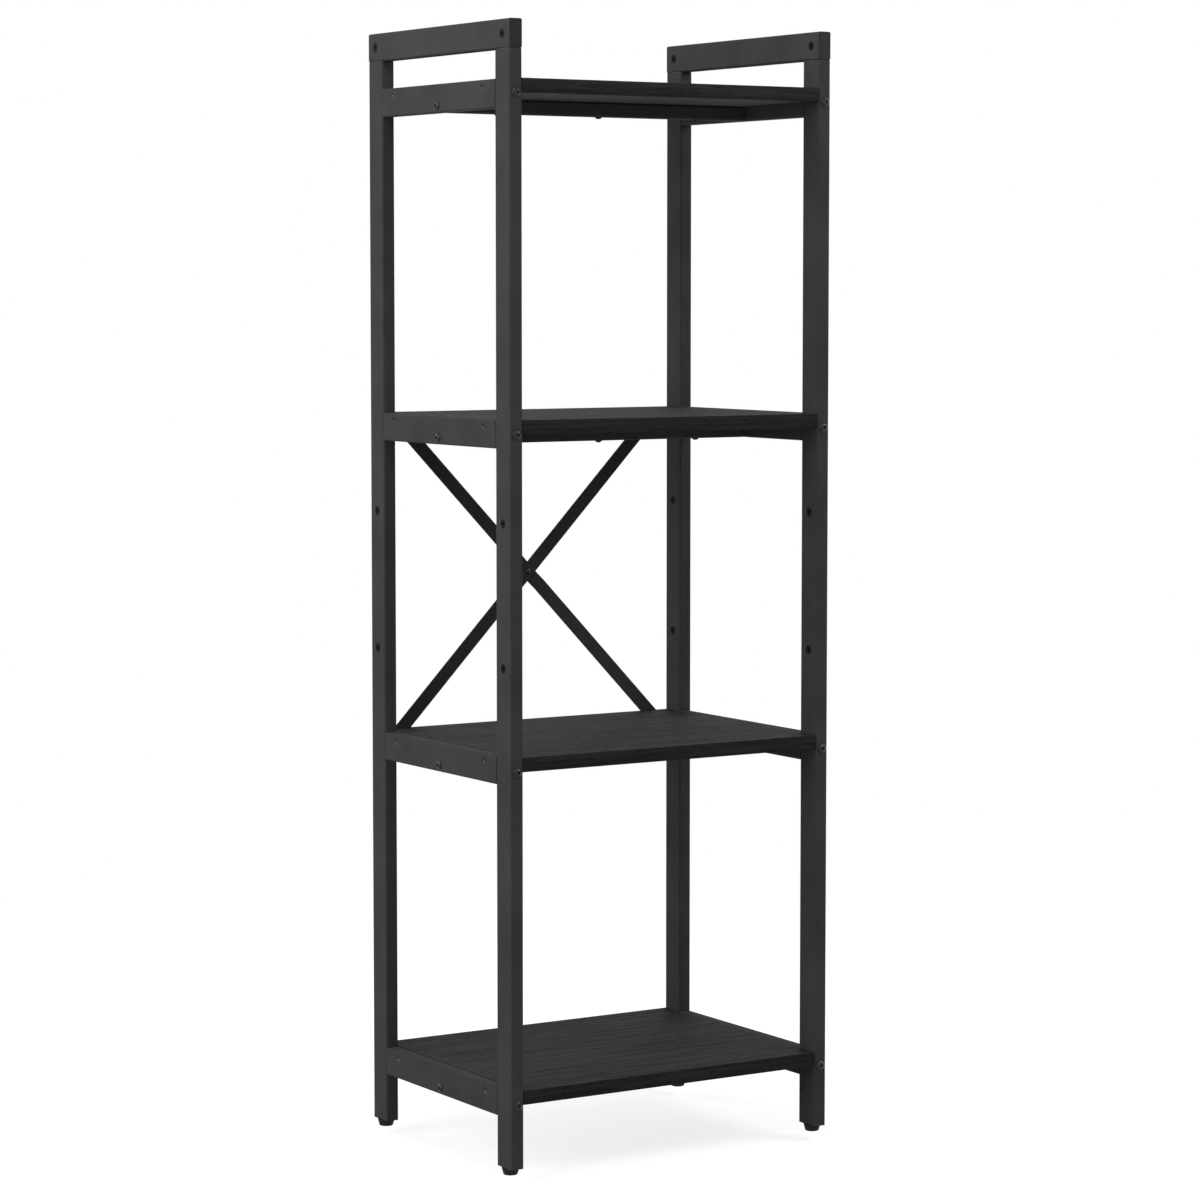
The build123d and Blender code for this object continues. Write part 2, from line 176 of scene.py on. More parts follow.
# printed melamine paper pressed on chipboard, and the band on its edges: matt black oak
# with wandering streaks along the board and small sunk pores
def makeLaminate(look):
    material, tree, shader, place = newMaterial(look["name"])

    def grain(vector, layer, detail):
        stretched = addNode(tree, "Mapping", {
            "Vector": vector, "Scale": [perMetre(size) for size in look[layer + "Mm"]],
        })
        return addNode(tree, "TexNoise", {
            "Vector": stretched.outputs["Vector"], "Scale": 1.0, "Detail": detail,
            "Distortion": look["waver"],
        }).outputs["Fac"]

    figure = grain(place, "figure", detail=2.0)
    swing = addNode(tree, "Math", {0: figure, 1: look["swingMm"] * mm}, operation="MULTIPLY").outputs[0]
    aside = addNode(tree, "CombineXYZ", {"Y": swing, "Z": swing}).outputs["Vector"]
    swung = addNode(tree, "VectorMath", {0: place, 1: aside}, operation="ADD").outputs["Vector"]
    band = grain(swung, "band", detail=3.0)
    streak = grain(swung, "streak", detail=4.0)
    pores = addNode(tree, "MapRange", {
        "Value": grain(swung, "pore", detail=2.0), "From Min": look["poreFrom"], "From Max": look["poreTo"],
    }).outputs["Result"]
    mixed = addNode(tree, "Math", {0: band, 1: streak}, operation="ADD").outputs[0]
    tone = addNode(tree, "MapRange", {
        "Value": mixed, "From Min": look["toneFrom"], "From Max": look["toneTo"],
    }).outputs["Result"]
    sunk = addNode(tree, "Math", {0: pores, 1: -look["poreShade"], 2: tone}, operation="MULTIPLY_ADD")
    color = addNode(tree, "ValToRGB", {"Fac": sunk.outputs[0]})
    setRamp(color, look)
    rough = addNode(tree, "MapRange", {
        "Value": pores, "To Min": look["roughLow"], "To Max": look["roughHigh"],
    })
    relief = addNode(tree, "Math", {0: streak, 1: pores}, operation="SUBTRACT")
    bump = addNode(tree, "Bump", {
        "Height": relief.outputs[0], "Strength": 1.0, "Distance": look["poreDepthMm"] * mm,
    })
    setInputs(tree, shader, {
        "Base Color": color.outputs["Color"], "Roughness": rough.outputs["Result"],
        "Normal": bump.outputs["Normal"], "Specular IOR Level": look["specular"],
    })
    return material


# black passivated zinc, on bolts and rail screws: nearly black and smoother than the tubes,
# so the heads catch a small bright spot
blackZinc = {
    "name": "blackZincSteel",
    "dark": "#070708", "light": "#0f0f11",
    "blotchMm": 2.5,
    "roughDark": 0.28, "roughLight": 0.4,
    "metallic": 0.0, "specular": 0.3,
}
# black phosphate, on the wood screws under the bars and behind the brace: dull charcoal
blackPhosphate = {
    "name": "blackPhosphateSteel",
    "dark": "#0a0a0a", "light": "#131313",
    "blotchMm": 1.2,
    "roughDark": 0.45, "roughLight": 0.6,
    "metallic": 0.0, "specular": 0.12,
}
# oiled black oxide, on the low heads in the tubes' walls: darkest and dull, so each reads as a dark dot;
# its near-black colour is partly painted shade of the holes the heads sit in
oxideAndHoleShade = {
    "name": "blackOxideSteel",
    "dark": "#060606", "light": "#0c0c0c",
    "blotchMm": 1.5,
    "roughDark": 0.6, "roughLight": 0.75,
    "metallic": 0.0, "specular": 0.06,
}
# bright zinc plating, on the studs: cool grey metal with cloudy patches where the bath left it duller
zincPlate = {
    "name": "zincPlatedSteel",
    "dark": "#9a9da2", "light": "#c6c8cb",
    "blotchMm": 5,
    "roughDark": 0.46, "roughLight": 0.28,
    "metallic": 1.0, "specular": 0.5,
}


def makeTreatedSteel(look):
    material, tree, shader, place = newMaterial(look["name"])
    blotch = addNode(tree, "TexNoise", {
        "Vector": place, "Scale": perMetre(look["blotchMm"]), "Detail": 3.0,
    })
    tone = addNode(tree, "MapRange", {
        "Value": blotch.outputs["Fac"], "From Min": noiseLow, "From Max": noiseHigh,
    })
    color = addNode(tree, "ValToRGB", {"Fac": tone.outputs["Result"]})
    setRamp(color, look)
    rough = addNode(tree, "MapRange", {
        "Value": tone.outputs["Result"], "To Min": look["roughDark"], "To Max": look["roughLight"],
    })
    setInputs(tree, shader, {
        "Base Color": color.outputs["Color"], "Roughness": rough.outputs["Result"],
        "Metallic": look["metallic"], "Specular IOR Level": look["specular"],
    })
    return material


mouldedPlastic = {
    "dark": "#0c0c0c", "light": "#131313",
    "sparkMm": 0.9,  # the mould's spark texture is nearer 0.2 mm, drawn coarser so that it shows
    "sparkDepthMm": 0.02,
    "roughLow": 0.5, "roughHigh": 0.62,
    "specular": 0.15,
}


# polypropylene from a spark-eroded mould: even black with a fine dull grain
def makeMouldedPlastic(look):
    material, tree, shader, place = newMaterial("mouldedPolypropylene")
    spark = addNode(tree, "TexNoise", {"Vector": place, "Scale": perMetre(look["sparkMm"]), "Detail": 2.0})
    tone = addNode(tree, "MapRange", {
        "Value": spark.outputs["Fac"], "From Min": noiseLow, "From Max": noiseHigh,
    })
    color = addNode(tree, "ValToRGB", {"Fac": tone.outputs["Result"]})
    setRamp(color, look)
    rough = addNode(tree, "MapRange", {
        "Value": tone.outputs["Result"], "To Min": look["roughLow"], "To Max": look["roughHigh"],
    })
    bump = addNode(tree, "Bump", {
        "Height": spark.outputs["Fac"], "Strength": 1.0, "Distance": look["sparkDepthMm"] * mm,
    })
    setInputs(tree, shader, {
        "Base Color": color.outputs["Color"], "Roughness": rough.outputs["Result"],
        "Normal": bump.outputs["Normal"], "Specular IOR Level": look["specular"],
    })
    return material


finishes = {
    "powder_coated_steel": makePowderCoat(powderCoat),
    "laminated_board": makeLaminate(oakLaminate),
    "black_fasteners": makeTreatedSteel(blackZinc),
    "zinc_plated_steel": makeTreatedSteel(zincPlate),
    "black_plastic": makeMouldedPlastic(mouldedPlastic),
}
edgeBandFinish = makeLaminate(oakEdgeBand)
oxideAndHoleShadeFinish = makeTreatedSteel(oxideAndHoleShade)
phosphateFinish = makeTreatedSteel(blackPhosphate)
for subpart in frame["record"]["subparts"]:
    for materialSlot in nodes[subpart["node"]].material_slots:
        materialSlot.material = finishes[subpart["material_slot"]]
print("finishes made and given to the frame's nodes")


# modelling by hand

smoothAngle = math.radians(32)  # edges that turn further than this stay sharp
weldGap = 0.003 * mm  # corners nearer than this are merged
overCut = 1.0  # millimetres by which a cutter stands out of the face that it cuts


def activate(piece):
    bpy.ops.object.select_all(action="DESELECT")
    piece.select_set(True)
    bpy.context.view_layer.objects.active = piece


def openMesh(piece, kind):
    activate(piece)
    bpy.ops.object.mode_set(mode="EDIT")
    bpy.ops.mesh.select_mode(type=kind)
    bpy.ops.mesh.select_all(action="DESELECT")


def closeMesh():
    bpy.ops.object.mode_set(mode="OBJECT")


# selects the vertices, edges or faces of the open mesh whose corners all pass the test
def pick(piece, kind, wanted):
    bpy.ops.mesh.select_all(action="DESELECT")
    mesh = bmesh.from_edit_mesh(piece.data)
    for item in getattr(mesh, kind):
        corners = [item.co] if kind == "verts" else [corner.co for corner in item.verts]
        if wanted(corners):
            item.select_set(True)
    bmesh.update_edit_mesh(piece.data)


def near(a, b, reach=0.01 * mm):
    return abs(a - b) < reach


def middleOf(name):
    low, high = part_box(name)
    return (low + high) / 2


# a copy with its own mesh
def copyOf(master):
    copy = master.copy()
    copy.data = master.data.copy()
    scene.collection.objects.link(copy)
    return copy


def finishPiece(piece, body, slotName, *replaced):
    activate(piece)
    bpy.ops.object.shade_smooth_by_angle(angle=smoothAngle)
    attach(piece, body)
    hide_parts(*replaced)


# draws an outline (radius, height) point by point and leaves its mesh open
def drawOutline(name, outline):
    bpy.ops.object.select_all(action="DESELECT")
    bpy.ops.mesh.primitive_plane_add(size=mm)
    piece = bpy.context.object
    piece.name = name
    bpy.ops.object.mode_set(mode="EDIT")
    bpy.ops.mesh.select_mode(type="VERT")
    bpy.ops.mesh.merge(type="CENTER")
    bpy.ops.transform.translate(value=(outline[0][0] * mm, 0, outline[0][1] * mm))
    for last, point in zip(outline, outline[1:]):
        stride = ((point[0] - last[0]) * mm, 0, (point[1] - last[1]) * mm)
        bpy.ops.mesh.extrude_vertices_move(TRANSFORM_OT_translate={"value": stride})
    return piece


# a turned shape: its outline is spun about z
def spinOutline(name, outline, steps):
    piece = drawOutline(name, outline)
    bpy.ops.mesh.select_all(action="SELECT")
    bpy.ops.mesh.spin(steps=steps, angle=math.tau, center=(0, 0, 0), axis=(0, 0, 1))
    bpy.ops.mesh.select_all(action="SELECT")
    bpy.ops.mesh.remove_doubles(threshold=weldGap)
    bpy.ops.mesh.normals_make_consistent(inside=False)
    closeMesh()
    return piece


# rounds the ring of a turned shape that lies at this radius and height
def roundRing(piece, radius, height, width, steps):
    openMesh(piece, "EDGE")
    pick(piece, "edges", lambda corners: all(
        near(c.xy.length, radius * mm) and near(c.z, height * mm) for c in corners
    ))
    bpy.ops.mesh.bevel(offset=width * mm, segments=steps, profile=0.5, affect="EDGES")
    closeMesh()


def addHexPrism(flats, floor, top):
    bpy.ops.object.select_all(action="DESELECT")
    bpy.ops.mesh.primitive_cylinder_add(
        vertices=6, radius=flats / math.sqrt(3) * mm, depth=(top - floor) * mm,
        location=(0, 0, (top + floor) / 2 * mm),
    )
    return bpy.context.object


def cutAway(piece, cutter):
    activate(piece)
    cut = piece.modifiers.new("cut", "BOOLEAN")
    cut.operation = "DIFFERENCE"
    cut.solver = "EXACT"
    cut.object = cutter
    bpy.ops.object.modifier_apply(modifier=cut.name)
    bpy.data.objects.remove(cutter)


def cutHexSocket(piece, flats, face, depth):
    cutAway(piece, addHexPrism(flats, face - depth, face + overCut))


# two tapered blades, one across the other
def cutCrossRecess(piece, look, face):
    floor = face - look["recessMm"]
    top = face + overCut
    for turn in (0, math.pi / 2):
        bpy.ops.object.select_all(action="DESELECT")
        bpy.ops.mesh.primitive_cube_add(
            size=1.0, location=(0, 0, (top + floor) / 2 * mm), rotation=(0, 0, turn),
            scale=(look["crossMm"] * mm, look["bladeMm"] * mm, (top - floor) * mm),
        )
        blade = bpy.context.object
        bpy.ops.object.transform_apply(location=True, rotation=True, scale=True)
        openMesh(blade, "FACE")
        pick(blade, "faces", lambda corners: all(near(c.z, floor * mm) for c in corners))
        bpy.ops.transform.resize(
            value=(look["taper"], look["taper"], 1), center_override=(0, 0, floor * mm),
        )
        closeMesh()
        cutAway(piece, blade)


# boards

boardLook = {
    "bandMm": 0.8,  # edge band glued on the front and rear edges
    "jointMm": 0.12,  # half width and depth of the fine line where the band meets the face
    "edgeMm": 0.6, "edgeSteps": 3,
    "endFacing": 0.9,  # faces that look left or right by more than this are the board's ends
}


def makeBoard(level, look):
    node = f"shelf_board_{level}"
    low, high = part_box(node)
    bpy.ops.object.select_all(action="DESELECT")
    bpy.ops.mesh.primitive_cube_add(size=1.0, location=(low + high) / 2, scale=high - low)
    board = bpy.context.object
    board.name = f"bandedBoard_{level}"
    bpy.ops.object.transform_apply(location=True, rotation=True, scale=True)
    openMesh(board, "EDGE")
    pick(board, "edges", lambda corners: not near(corners[0].x, corners[1].x))
    bpy.ops.mesh.bevel(
        offset=look["edgeMm"] * mm, segments=look["edgeSteps"], profile=0.5, affect="EDGES",
    )
    joints = (low.y + look["bandMm"] * mm, high.y - look["bandMm"] * mm)
    for joint in joints:
        for step in (-1, 0, 1):
            bpy.ops.mesh.select_all(action="SELECT")
            cut = joint + step * look["jointMm"] * mm
            bpy.ops.mesh.bisect(plane_co=(0, cut, 0), plane_no=(0, 1, 0))
        bpy.ops.mesh.select_mode(type="VERT")
        pick(board, "verts", lambda corners: near(corners[0].y, joint))
        bpy.ops.transform.shrink_fatten(value=-look["jointMm"] * mm)
    closeMesh()
    board.data.materials.append(finishes["laminated_board"])
    board.data.materials.append(edgeBandFinish)
    for face in board.data.polygons:
        if abs(face.normal.x) > look["endFacing"] or not joints[0] < face.center.y < joints[1]:
            face.material_index = 1
    finishPiece(board, "frame", "laminated_board", node)


for level in levels:
    makeBoard(level, boardLook)
print("boards banded")


# fasteners, each turned with its seat at the origin and its head up

fastenerSides = 40
domeSteps = 9
coneSlope = math.tan(math.radians(30))  # of the cone that leads into a domed bolt's socket
twistStep = math.radians(137.5)  # sockets stop at odd angles when they are tightened


# with a chamfered end
def plainShank(look):
    shank = look["shankMm"] / 2
    lead = look["leadMm"]
    end = -look["lengthMm"]
    return [(0, end), (shank - lead, end), (shank, end + lead), (shank, 0)]


def pointedShank(look, top):
    shank = look["shankMm"] / 2
    end = -look["lengthMm"]
    return [(0, end), (shank, end + look["pointMm"]), (shank, top)]


# rim and dome, in to the radius where the recess begins
def domedHead(look, inner):
    radius = look["headMm"] / 2
    cap = look["riseMm"] - look["rimMm"]
    ball = (radius ** 2 + cap ** 2) / (2 * cap)
    first = math.asin(radius / ball)
    last = math.asin(inner / ball)
    turns = [first + (last - first) * i / domeSteps for i in range(domeSteps + 1)]
    dome = [(ball * math.sin(a), look["riseMm"] - ball + ball * math.cos(a)) for a in turns]
    return [(radius - look["softMm"], 0), (radius, look["softMm"])] + dome


def lowHead(look):
    head = look["headMm"] / 2
    rise = look["riseMm"]
    return [(head, 0), (head, rise - look["softMm"]), (head - look["softMm"], rise), (0, rise)]


# bolt with a domed head and a cone that leads into its socket
def domedBolt(name, look):
    head = domedHead(look, look["coneMm"])
    coneTip = head[-1][1] - look["coneMm"] * coneSlope
    bolt = spinOutline(name, plainShank(look) + head + [(0, coneTip)], fastenerSides)
    cutHexSocket(bolt, look["socketMm"], look["riseMm"], look["socketDepthMm"])
    return bolt


# pointed wood screw with a domed head and a cross recess
def panScrew(name, look):
    screw = spinOutline(name, pointedShank(look, 0) + domedHead(look, 0), fastenerSides)
    cutCrossRecess(screw, look, look["riseMm"])
    return screw


# pointed wood screw with a cone head sunk below the face, dished round its cross recess
def sunkScrew(name, look):
    head = look["headMm"] / 2
    face = -look["sunkMm"]
    dish = face - look["dishMm"]
    outline = pointedShank(look, face - head + look["shankMm"] / 2) + [
        (head, face - look["softMm"]), (head - look["softMm"], face), (head - look["rimMm"], face),
        (look["dishFloorMm"] / 2, dish), (0, dish),
    ]
    screw = spinOutline(name, outline, fastenerSides)
    cutCrossRecess(screw, look, face)
    return screw


# low flat head on a thin shank, which screws into the barrel nut from the other face
def keyBolt(name, look):
    bolt = spinOutline(name, plainShank(look) + lowHead(look), fastenerSides)
    cutHexSocket(bolt, look["socketMm"], look["riseMm"], look["socketDepthMm"])
    return bolt


# the same low head on a barrel, bored from its end for the key bolt
def barrelNut(name, look):
    barrel = look["barrelMm"] / 2
    bore = look["boreMm"] / 2
    end = -look["lengthMm"]
    boreEnd = -look["boreEndMm"]
    outline = [(0, boreEnd), (bore, boreEnd), (bore, end), (barrel, end), (barrel, 0)] + lowHead(look)
    nut = spinOutline(name, outline, fastenerSides)
    cutHexSocket(nut, look["socketMm"], look["riseMm"], look["socketDepthMm"])
    return nut


# copies the fastener to each seat, head outwards, and joins the copies as the node has them
def setFasteners(master, seats, node, finish=finishes["black_fasteners"]):
    master.data.materials.append(finish)
    name = master.name
    copies = []
    for i, (seat, outward) in enumerate(seats):
        copy = copyOf(master)
        copy.location = seat
        copy.rotation_mode = "QUATERNION"
        twist = Quaternion((0, 0, 1), i * twistStep)
        copy.rotation_quaternion = Vector(outward).to_track_quat("Z", "Y") @ twist
        copies.append(copy)
    bpy.data.objects.remove(master)
    activate(copies[0])
    for copy in copies:
        copy.select_set(True)
    bpy.ops.object.transform_apply(location=True, rotation=True, scale=True)
    bpy.ops.object.join()
    joined = bpy.context.object
    joined.name = name
    finishPiece(joined, "frame", "black_fasteners", node)


def postFace(end, side):
    low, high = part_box(f"lower_post_{end}_{side}")
    return Vector(((low.x + high.x) / 2, low.y if end == "front" else high.y, 0))


def outerX(name, side):
    low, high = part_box(name)
    return low.x if side == "left" else high.x


postBolt = {
    "headMm": 10.5, "riseMm": 3.3, "rimMm": 0.8, "softMm": 0.2,
    "shankMm": 6.0, "lengthMm": 44.5, "leadMm": 0.8,
    "socketMm": 4.0, "socketDepthMm": 2.0, "coneMm": 2.45,
}
seats = []
for level in levels:
    for side in sides:
        for end, outward in ends.items():
            seat = postFace(end, side)
            seat.z = middleOf(f"side_rail_{level}_{side}").z
            seats.append((seat, (0, outward, 0)))
setFasteners(domedBolt("postBolts", postBolt), seats, "post_bolts")

barBolt = {
    "headMm": 9.0, "riseMm": 2.8, "rimMm": 0.7, "softMm": 0.2,
    "shankMm": 5.0, "lengthMm": 29.5, "leadMm": 0.7,
    "socketMm": 3.0, "socketDepthMm": 1.7, "coneMm": 1.85,
}
seats = []
for level in levels:
    for side, outward in sides.items():
        seat = middleOf(f"cross_bar_{level}")
        seat.x = outerX(f"side_rail_{level}_{side}", side)
        seats.append((seat, (outward, 0, 0)))
setFasteners(domedBolt("barBolts", barBolt), seats, "bar_bolts")

railScrew = {
    "headMm": 7.6, "sunkMm": 0.5, "softMm": 0.15,
    "rimMm": 0.5, "dishMm": 1.6, "dishFloorMm": 2.4,
    "shankMm": 4.0, "lengthMm": 37.0, "pointMm": 3.0,
    "crossMm": 4.2, "bladeMm": 1.0, "recessMm": 2.8, "taper": 0.45,
}
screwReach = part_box("rail_screws")[1].y - railScrew["headMm"] / 2 * mm
seats = []
for level in levels:
    for side, outward in sides.items():
        for y in (-screwReach, screwReach):
            x = outerX(f"side_rail_{level}_{side}", side)
            seats.append(((x, y, middleOf(f"shelf_board_{level}").z), (outward, 0, 0)))
setFasteners(sunkScrew("railScrews", railScrew), seats, "rail_screws")

underScrew = {
    "headMm": 7.5, "riseMm": 2.2, "rimMm": 0.55, "softMm": 0.15,
    "shankMm": 4.0, "lengthMm": 25.0, "pointMm": 3.0,
    "crossMm": 4.0, "bladeMm": 1.0, "recessMm": 1.6, "taper": 0.45,
}
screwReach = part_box("under_screws")[1].x - underScrew["headMm"] / 2 * mm
seats = []
for level in levels:
    for x in (-screwReach, 0, screwReach):
        seats.append(((x, 0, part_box(f"cross_bar_{level}")[0].z), (0, 0, -1)))
setFasteners(panScrew("underScrews", underScrew), seats, "under_screws", phosphateFinish)

braceScrew = {**underScrew, "lengthMm": 23.5}
low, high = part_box("brace_screws")
inset = braceScrew["headMm"] / 2 * mm
seats = []
for x in (low.x + inset, high.x - inset):
    for z in (low.z + inset, high.z - inset):
        seats.append(((x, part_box("brace_bar_flat")[1].y, z), (0, 1, 0)))
setFasteners(panScrew("braceScrews", braceScrew), seats, "brace_screws", phosphateFinish)

lowHeadLook = {
    "headMm": 9.2, "riseMm": 0.8, "softMm": 0.15,
    "socketMm": 3.0, "socketDepthMm": 1.6,
}
keyBoltLook = {**lowHeadLook, "shankMm": 4.0, "lengthMm": 9.4, "leadMm": 0.5}
barrelLook = {**lowHeadLook, "barrelMm": 6.0, "lengthMm": 9.0, "boreMm": 4.1, "boreEndMm": 1.8}
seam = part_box("lower_post_front_left")[1].z
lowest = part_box("key_bolts")[0].z + keyBoltLook["headMm"] / 2 * mm
heights = (lowest, 2 * seam - lowest, middleOf("top_rail_left").z)
outerSeats = []
innerSeats = []
for side, outward in sides.items():
    faceX = outerX("key_bolts", side) - outward * keyBoltLook["riseMm"] * mm
    for end in ends:
        post = middleOf(f"lower_post_{end}_{side}")
        for z in heights:
            outerSeats.append(((faceX, post.y, z), (outward, 0, 0)))
            innerSeats.append(((2 * post.x - faceX, post.y, z), (-outward, 0, 0)))
# the key bolts and barrel nuts take the oxide finish, whose darkness is partly painted shade of their holes
setFasteners(keyBolt("keyBolts", keyBoltLook), outerSeats, "key_bolts", oxideAndHoleShadeFinish)
setFasteners(barrelNut("barrelNuts", barrelLook), innerSeats, "barrel_nuts", oxideAndHoleShadeFinish)
print("fasteners set")


# levelling feet

footBase = {
    "topMm": 18.8, "bottomMm": 14.8, "heightMm": 7.5, "steps": 64,
    "dishMm": 4.6, "dishDepthMm": 0.6,  # hollow in the sole, so that the foot stands on a ring
    "heelMm": 1.0, "heelSteps": 5,
    "lipMm": 0.5, "lipSteps": 3,
    "pocketMm": 10.1, "soleMm": 2.5,  # pocket for the stud's head, and what is left under it
}


def makeFootBase(look):
    bottom = look["bottomMm"] / 2
    top = look["topMm"] / 2
    height = look["heightMm"]
    dish = look["dishMm"]
    hollow = look["dishDepthMm"]
    outline = [(0, hollow), (dish, hollow), (dish + hollow, 0), (bottom, 0), (top, height), (0, height)]
    foot = spinOutline("footBase", outline, look["steps"])
    roundRing(foot, bottom, 0, look["heelMm"], look["heelSteps"])
    roundRing(foot, top, height, look["lipMm"], look["lipSteps"])
    cutHexSocket(foot, look["pocketMm"], height, height - look["soleMm"])
    foot.data.materials.append(finishes["black_plastic"])
    return foot


footStud = {
    "threadMm": 6.0, "rootMm": 4.9, "pitchMm": 1.0, "lengthMm": 22.0, "steps": 32,
    "turnsBelow": 2, "turnsAbove": 1,  # spare turns of thread, cut off at the stud's ends
    "headMm": 10.0, "cornerMm": 0.4, "cornerSteps": 2,
}


# metric thread, with flats of an eighth of its pitch: the outline of one turn climbs by a Screw modifier,
# then both ends are cut flat
def makeFootStud(look, foot):
    crest = look["threadMm"] / 2
    root = look["rootMm"] / 2
    pitch = look["pitchMm"]
    start = foot["heightMm"]
    low = start - look["turnsBelow"] * pitch
    stud = drawOutline("footStud", [
        (root, low), (root, low + pitch / 8), (crest, low + pitch / 2),
        (crest, low + pitch * 5 / 8), (root, low + pitch),
    ])
    closeMesh()
    climb = stud.modifiers.new("climb", "SCREW")
    climb.axis = "Z"
    climb.screw_offset = pitch * mm
    climb.iterations = math.ceil(look["lengthMm"] / pitch) + look["turnsBelow"] + look["turnsAbove"]
    climb.steps = look["steps"]
    climb.render_steps = look["steps"]
    bpy.ops.object.modifier_apply(modifier=climb.name)
    openMesh(stud, "VERT")
    bpy.ops.mesh.select_all(action="SELECT")
    bpy.ops.mesh.remove_doubles(threshold=weldGap)
    for height, outward in ((start, -1), (start + look["lengthMm"], 1)):
        bpy.ops.mesh.select_all(action="SELECT")
        bpy.ops.mesh.bisect(
            plane_co=(0, 0, height * mm), plane_no=(0, 0, outward), use_fill=True, clear_outer=True,
        )
    bpy.ops.mesh.select_all(action="SELECT")
    bpy.ops.mesh.normals_make_consistent(inside=False)
    closeMesh()
    head = addHexPrism(look["headMm"], foot["soleMm"], start)
    bpy.ops.object.transform_apply(location=True, rotation=True, scale=True)
    openMesh(head, "EDGE")
    pick(head, "edges", lambda corners: near(corners[0].xy.length, corners[1].xy.length)
         and not near(corners[0].z, corners[1].z))
    bpy.ops.mesh.bevel(
        offset=look["cornerMm"] * mm, segments=look["cornerSteps"], profile=0.5, affect="EDGES",
    )
    closeMesh()
    activate(stud)
    head.select_set(True)
    bpy.ops.object.join()
    stud.data.materials.append(finishes["zinc_plated_steel"])
    return stud


def setFeet(master, kind, slotName):
    for side in sides:
        for end in ends:
            copy = copyOf(master)
            copy.name = f"{master.name}_{end}_{side}"
            post = middleOf(f"lower_post_{end}_{side}")
            copy.location = (post.x, post.y, 0)
            activate(copy)
            bpy.ops.object.transform_apply(location=True, rotation=True, scale=True)
            finishPiece(copy, f"foot_{end}_{side}", slotName, f"{kind}_{end}_{side}")
    bpy.data.objects.remove(master)


setFeet(makeFootBase(footBase), "foot_base", "black_plastic")
setFeet(makeFootStud(footStud, footBase), "foot_stud", "zinc_plated_steel")
print("feet set")


# stage, light and camera, with places and sizes in metres and power in watts

studio = {
    "floorSize": 16.0, "floorColor": "#f2f2f2",
    "floorLevel": -0.01,  # the feet's full reach, so that they show when they are screwed out
    "fibreMm": 25,  # paper fibre is far finer, drawn coarser so that it can show
    "roughLow": 0.75, "roughHigh": 0.95,
    "fadeFrom": 0.5, "fadeTo": 1.8,  # distances between which the floor turns plain white
    "glowShare": 0.6, "glowLevel": 1.34,  # near the object, where the rest of the floor takes the shadow
    "ambient": 0.3,
    "softboxes": {
        "keySoftbox": {"place": (-3.6, -0.6, 2.0), "aim": (0, 0, 0.8), "size": 2.6, "power": 102},
        "highSoftbox": {"place": (-0.5, -0.1, 1.9), "aim": (0.1, 0, 1.1), "size": 0.5, "power": 6},
        "fillSoftbox": {"place": (1.1, -1.1, 1.7), "aim": (0.15, 0, 0.8), "size": 0.9, "power": 17},
        "rearSoftbox": {"place": (-1.5, 2.6, 1.5), "aim": (0, 0, 0.8), "size": 1.6, "power": 26},
        "sparkSoftbox": {"place": (-0.7, -1.6, 2.0), "aim": (0, 0, 0.8), "size": 0.2, "power": 4},
    },
}


# one for rays that should meet a white background: seen, mirrored or through glass
def seenRay(tree):
    path = addNode(tree, "LightPath")
    seen = addNode(tree, "Math", {
        0: path.outputs["Is Camera Ray"], 1: path.outputs["Is Glossy Ray"],
    }, operation="MAXIMUM")
    return addNode(tree, "Math", {
        0: seen.outputs[0], 1: path.outputs["Is Transmission Ray"],
    }, operation="MAXIMUM").outputs[0]


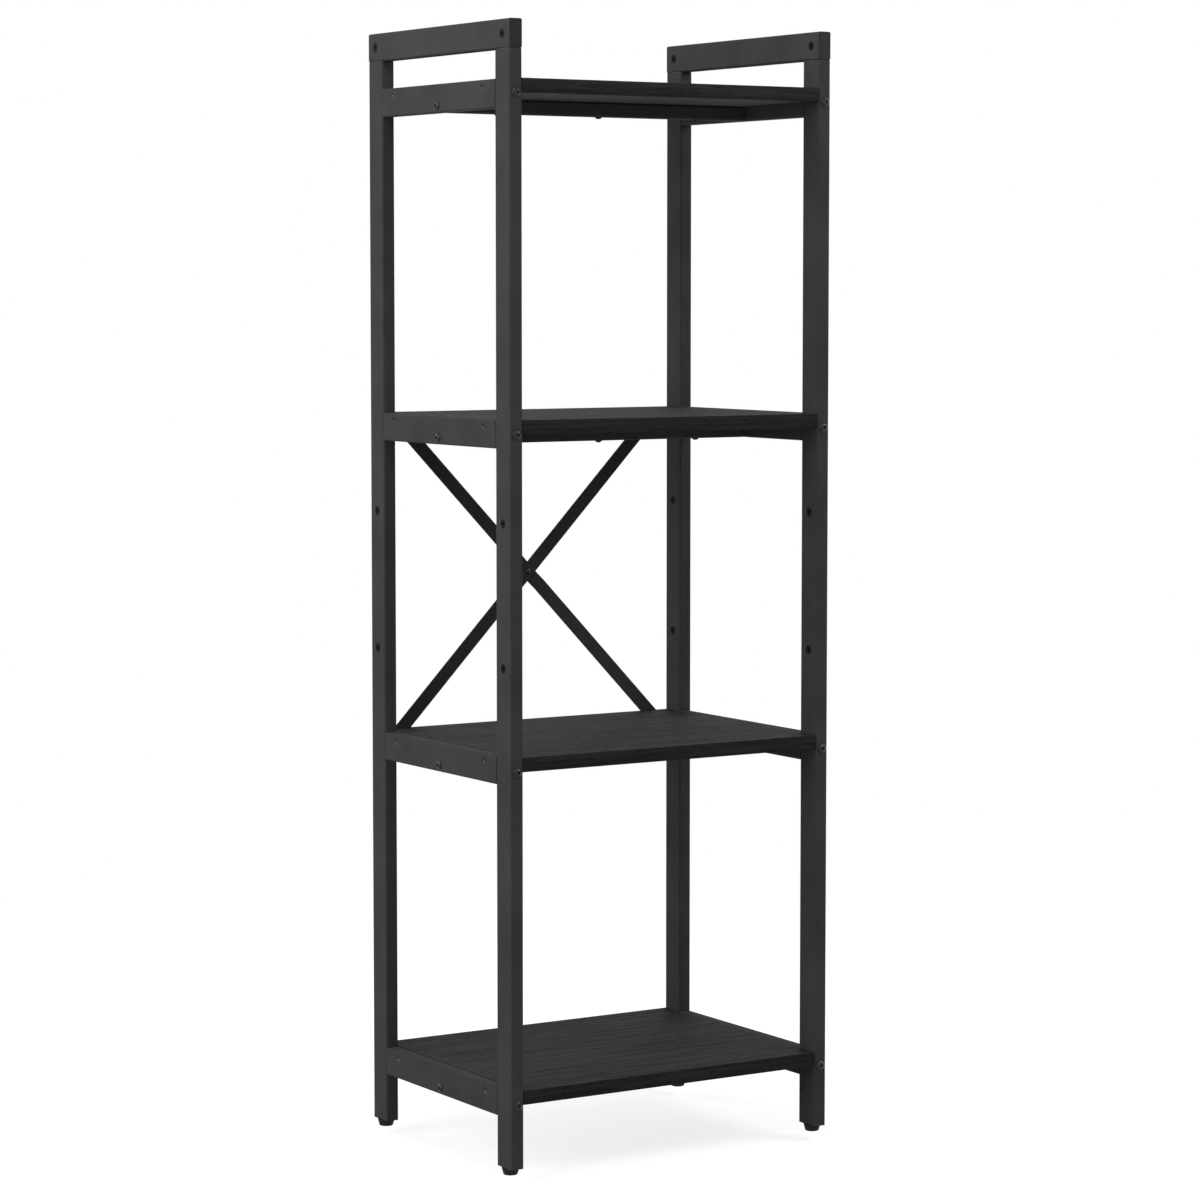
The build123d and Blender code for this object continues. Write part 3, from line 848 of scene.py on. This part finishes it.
# matt white paper: takes a shadow near the object and fades to plain white further out
def makeFloor(look):
    material, tree, shader, place = newMaterial("paleStudioFloor")
    fibre = addNode(tree, "TexNoise", {"Vector": place, "Scale": perMetre(look["fibreMm"]), "Detail": 2.0})
    rough = addNode(tree, "MapRange", {
        "Value": fibre.outputs["Fac"], "To Min": look["roughLow"], "To Max": look["roughHigh"],
    })
    setInputs(tree, shader, {
        "Base Color": hexColor(look["floorColor"]), "Roughness": rough.outputs["Result"],
    })
    distance = addNode(tree, "VectorMath", {0: place}, operation="LENGTH").outputs["Value"]
    fades = {}
    for part in ("glowShare", "glowLevel"):
        fades[part] = addNode(tree, "MapRange", {
            "Value": distance, "From Min": look["fadeFrom"], "From Max": look["fadeTo"],
            "To Min": look[part], "To Max": 1.0,
        }, interpolation_type="SMOOTHSTEP").outputs["Result"]
    share = addNode(tree, "Math", {0: seenRay(tree), 1: fades["glowShare"]}, operation="MULTIPLY")
    glow = addNode(tree, "Emission", {"Color": (1, 1, 1, 1), "Strength": fades["glowLevel"]})
    mix = addNode(tree, "MixShader", {
        0: share.outputs[0], 1: shader.outputs["BSDF"], 2: glow.outputs["Emission"],
    })
    setInputs(tree, tree.nodes["Material Output"], {"Surface": mix.outputs["Shader"]})
    bpy.ops.object.select_all(action="DESELECT")
    bpy.ops.mesh.primitive_plane_add(size=look["floorSize"], location=(0, 0, look["floorLevel"]))
    floor = bpy.context.object
    floor.name = "floor"
    floor.data.materials.append(material)


def makeWorld(look):
    world = bpy.data.worlds.new("whiteStudio")
    world.use_nodes = True
    scene.world = world
    tree = world.node_tree
    tree.nodes.clear()
    strength = addNode(tree, "MapRange", {"Value": seenRay(tree), "To Min": look["ambient"], "To Max": 1.0})
    glow = addNode(tree, "Background", {"Color": (1, 1, 1, 1), "Strength": strength.outputs["Result"]})
    addNode(tree, "OutputWorld", {"Surface": glow.outputs["Background"]})


def addSoftbox(name, look):
    lamp = bpy.data.lights.new(name, "AREA")
    lamp.shape = "SQUARE"
    lamp.size = look["size"]
    lamp.energy = look["power"]
    softbox = bpy.data.objects.new(name, lamp)
    scene.collection.objects.link(softbox)
    softbox.location = look["place"]
    back = Vector(look["place"]) - Vector(look["aim"])
    softbox.rotation_euler = back.to_track_quat("Z", "Y").to_euler()


makeFloor(studio)
makeWorld(studio)
for name, look in studio["softboxes"].items():
    addSoftbox(name, look)

photoCamera = {
    "place": (-2.138356, -3.429175, 0.9245),
    "turnDeg": -31.971, "tiltDeg": -4.549,  # from straight ahead and level
    "sensorMm": 36.0, "lensMm": 111.54, "shiftY": -0.0145,
}
cameraData = bpy.data.cameras.new("photoCamera")
cameraData.sensor_width = photoCamera["sensorMm"]
cameraData.lens = photoCamera["lensMm"]
cameraData.shift_y = photoCamera["shiftY"]
camera = bpy.data.objects.new("photoCamera", cameraData)
scene.collection.objects.link(camera)
camera.location = photoCamera["place"]
levelled = math.pi / 2  # an unturned camera looks straight down
tilt = math.radians(photoCamera["tiltDeg"])
camera.rotation_euler = (levelled + tilt, 0.0, math.radians(photoCamera["turnDeg"]))
scene.camera = camera
print("stage, light and camera set")
